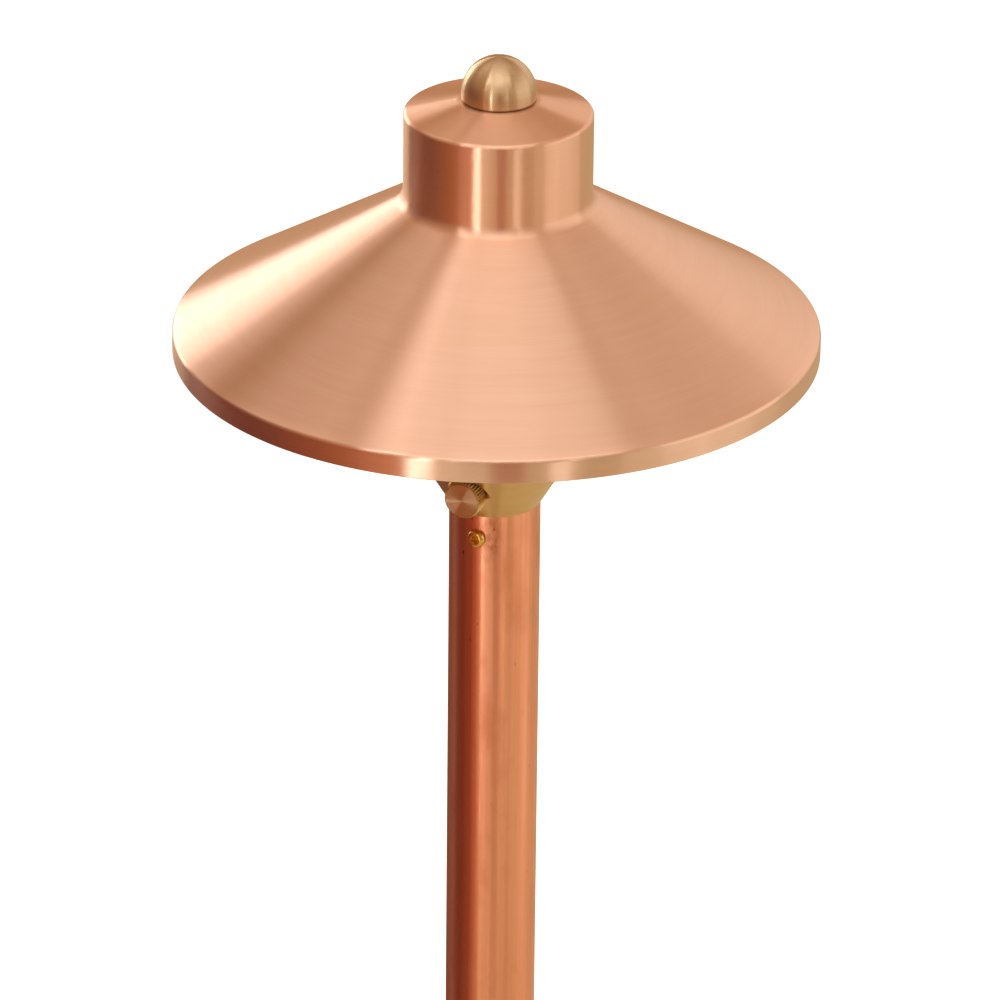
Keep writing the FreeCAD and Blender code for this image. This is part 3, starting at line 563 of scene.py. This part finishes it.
thumb_joint = next(j for j in frame["joints"] if j["name"] == "thumbscrew_turn")
thumb_finish = turned_metal(
    "knurled brass", (0.80, 0.60, 0.40), (0.70, 0.48, 0.29), 0.3, 1.0, 2500, 0.02, thumb_joint["axis"],
    thumb_joint["pos_m"])
tree = thumb_finish.node_tree
shader = tree.nodes["Principled BSDF"]
off_axis = vector_step(tree, "LENGTH", around_axis(tree, thumb_joint["axis"], thumb_joint["pos_m"]))
knurl_foot = 0.0056
knurl_crest = 0.006
face_edge = knurl_foot - 0.0003
knurled = spread(tree, off_axis, face_edge, knurl_foot - 0.0001, 0, 1)
# Painted shade and highlight: the knurl's grooves are painted dark brass and its crests painted bright gold.
crest_highlight_mask = spread(tree, off_axis, knurl_foot, knurl_crest, 0, 1)
knurl_shade_and_highlight = tinted(tree, crest_highlight_mask, (0.48, 0.29, 0.09), (0.95, 0.68, 0.26))
faced = shader.inputs["Base Color"].links[0].from_socket
feed(tree, tinted(tree, knurled, faced, knurl_shade_and_highlight), shader.inputs["Base Color"])
feed(tree, spread(tree, knurled, 0, 1, 0.3, 0.36), shader.inputs["Roughness"])
dress(thumb_finish, "thumbscrew")

fibre_finish, tree, shader = new_finish("red fibre", (0.30, 0.09, 0.05), 0, 0.7)
fibres = cloudy(tree, object_place(tree, scale=(1, 1, 0.3)), 2500, 4)
feed(tree, tinted(tree, fibres, (0.22, 0.06, 0.03), (0.40, 0.14, 0.08)), shader.inputs["Base Color"])
raised(tree, fibres, 0.3, shader)
dress(fibre_finish, "thumbscrew_washer")

# Studio: a plain pale floor at the stake's tip, soft light from large panels, dark cards
# that keep the room out of the metal, and the camera at the viewing angle of the photograph.


def staged(name, maker, finish):
    """Object of the studio from a finished bmesh."""
    mesh = bpy.data.meshes.new(name)
    maker.to_mesh(mesh)
    maker.free()
    mesh.materials.append(finish)
    stage_piece = bpy.data.objects.new(name, mesh)
    bpy.context.scene.collection.objects.link(stage_piece)
    return stage_piece


floor_height = cad_box[0].z
floor_finish, tree, shader = new_finish("floor paper", (0.74, 0.6, 0.47), 0, 0.9)
light_path = tree.nodes.new("ShaderNodeLightPath")
white = (1, 1, 1)
paper_glow = tinted(tree, light_path.outputs["Is Camera Ray"], (0.0, 0.11, 0.07), white)
feed(tree, paper_glow, shader.inputs["Emission Color"])
shader.inputs["Emission Strength"].default_value = 1
geometry = tree.nodes.new("ShaderNodeNewGeometry")
feed(tree, calculate(tree, "SUBTRACT", 1.0, geometry.outputs["Backfacing"]), shader.inputs["Alpha"])
floor_maker = bmesh.new()
bmesh.ops.create_grid(
    floor_maker, x_segments=1, y_segments=1, size=20, matrix=Matrix.Translation((0, 0, floor_height)))
staged("floor", floor_maker, floor_finish)


def dark_card(name, color, left, right, front, back, low, high):
    """Thin card, upright or on the floor, that shows only in reflections."""
    finish, tree, shader = new_finish(name, color, 0, 0.9)
    shader.inputs["Emission Color"].default_value = (*color, 1)
    shader.inputs["Emission Strength"].default_value = 1
    size = Vector((right - left, back - front, high - low))
    middle = Vector(((left + right) / 2, (front + back) / 2, (low + high) / 2))
    maker = bmesh.new()
    bmesh.ops.create_cube(maker, size=1, matrix=Matrix.LocRotScale(middle, None, size))
    card = staged(name, maker, finish)
    card.visible_camera = False
    card.visible_shadow = False
    return card


left_card_middle = (0.085, 0.022, 0.016)
left_card_front = (0.46, 0.13, 0.035)
left_card_back = (0.3, 0.21, 0.19)
left_card = dark_card("left_card", left_card_middle, -0.46, -0.45, -0.76, 0.3, floor_height, 0.66)
tree = left_card.active_material.node_tree
card_depth = split(tree, object_place(tree))["Y"]
towards_front = spread(tree, card_depth, -0.07, -0.65, 0, 1)
towards_back = spread(tree, card_depth, 0.05, 0.3, 0, 1)
front_graded = tinted(tree, towards_front, left_card_middle, left_card_front)
graded = tinted(tree, towards_back, front_graded, left_card_back)
feed(tree, graded, tree.nodes["Principled BSDF"].inputs["Emission Color"])
low_card_top = floor_height + 0.001
dark_card("left_floor_card", (0.10, 0.05, 0.035), -1.8, -0.1, 0.1, 1.6, floor_height, low_card_top)
dark_card("right_floor_card", (0.12, 0.10, 0.07), 0.27, 0.41, -0.50, -0.36, floor_height, low_card_top)
dark_card("front_card", (0.19, 0.06, 0.03), -0.03, 0.17, -1.01, -1.0, floor_height, 0.95)


def panel(name, azimuth, elevation, distance, width, height, brightness):
    """Area light on a sphere round the hat, aimed at it. Azimuth is from the front towards the right."""
    turn = math.radians(azimuth)
    lift = math.radians(elevation)
    away = Vector((math.sin(turn) * math.cos(lift), -math.cos(turn) * math.cos(lift), math.sin(lift)))
    light = bpy.data.lights.new(name, "AREA")
    light.shape = "RECTANGLE"
    light.size = width
    light.size_y = height
    watts_per_area = 4
    light.energy = watts_per_area * width * height * brightness
    lamp = bpy.data.objects.new(name, light)
    lamp.location = Vector((0, 0, rim_height)) + away * distance
    lamp.rotation_mode = "QUATERNION"
    lamp.rotation_quaternion = away.to_track_quat("Z", "Y")
    lamp.visible_camera = False
    bpy.context.scene.collection.objects.link(lamp)
    return light


# Broad soft light from above, on the hat's upper surfaces.
panel("overhead", 0, 89, 1.6, 1.8, 1.8, 0.28)
front_tone = (0.94, 1.0, 0.97)
panel("front_high", 2, 48, 2.0, 0.9, 0.8, 0.58).color = front_tone
panel("front_wide", 6, 60, 2.0, 2.3, 0.8, 0.91).color = front_tone
panel("left_high", -122, 52, 1.8, 1.1, 0.7, 0.3)
panel("right_high", 122, 52, 1.8, 1.1, 0.7, 0.07)
# Narrow strips that draw the bright lines on the crown and finial. The low ones are for the lip, the high
# one is for the brim.
panel("key_strip", -23, 4, 1.5, 0.1, 0.92, 3.4)
panel("key_foot", -28, -24, 1.58, 0.08, 0.3, 8.5)
panel("fill_strip", -14, 12, 1.5, 0.1, 1.2, 0.38)
panel("second_strip", 26, 15, 1.5, 0.1, 1.0, 0.6)
panel("second_foot", 22, -24, 1.58, 0.18, 0.3, 2.6)
panel("high_strip", -48, 48, 1.6, 0.08, 0.8, 4.6)
# Panels at the right side.
panel("right_edge", 48, 12, 1.5, 0.28, 1.3, 0.1)
panel("right_panel", 83, 12, 1.5, 1.55, 1.3, 0.49)
panel("right_foot", 60, -24, 1.58, 0.9, 0.3, 0.5)
# Panels behind, along the outer edges of the brim.
panel("back_left", -145, 8, 1.5, 0.84, 0.42, 2.2)
panel("back_left_high", -147, 24, 1.5, 1.3, 0.42, 0.36)
panel("back_right", 140, 15, 1.8, 2.0, 1.2, 0.35)
# Weak panels below, for the hub and the underside of the hat.
panel("front_low", -20, -34, 1.1, 0.72, 0.5, 0.19)
panel("right_low", 88, -34, 1.1, 0.45, 0.5, 0.22)

world = bpy.data.worlds.new("studio")
world.use_nodes = True
tree = world.node_tree
light_path = tree.nodes.new("ShaderNodeLightPath")
room_color = tinted(tree, light_path.outputs["Is Camera Ray"], (0.51, 0.33, 0.19), white)
feed(tree, room_color, tree.nodes["Background"].inputs["Color"])
bpy.context.scene.world = world
bpy.context.scene.view_settings.view_transform = "Standard"

view_distance = 2.19
view_elevation = math.radians(25.165)
view_roll = math.radians(0.6)
aim_below_rim = 0.0522
axis_shift = 0.0016
camera_data = bpy.data.cameras.new("camera")
camera_data.sensor_width = 36
camera_data.lens = 252.9
camera = bpy.data.objects.new("camera", camera_data)
backward = Vector((0, -math.cos(view_elevation), math.sin(view_elevation)))
camera.location = Vector((axis_shift, 0, rim_height - aim_below_rim)) + backward * view_distance
camera.rotation_mode = "ZXY"
camera.rotation_euler = (math.pi / 2 - view_elevation, 0, view_roll)
bpy.context.scene.collection.objects.link(camera)
bpy.context.scene.camera = camera
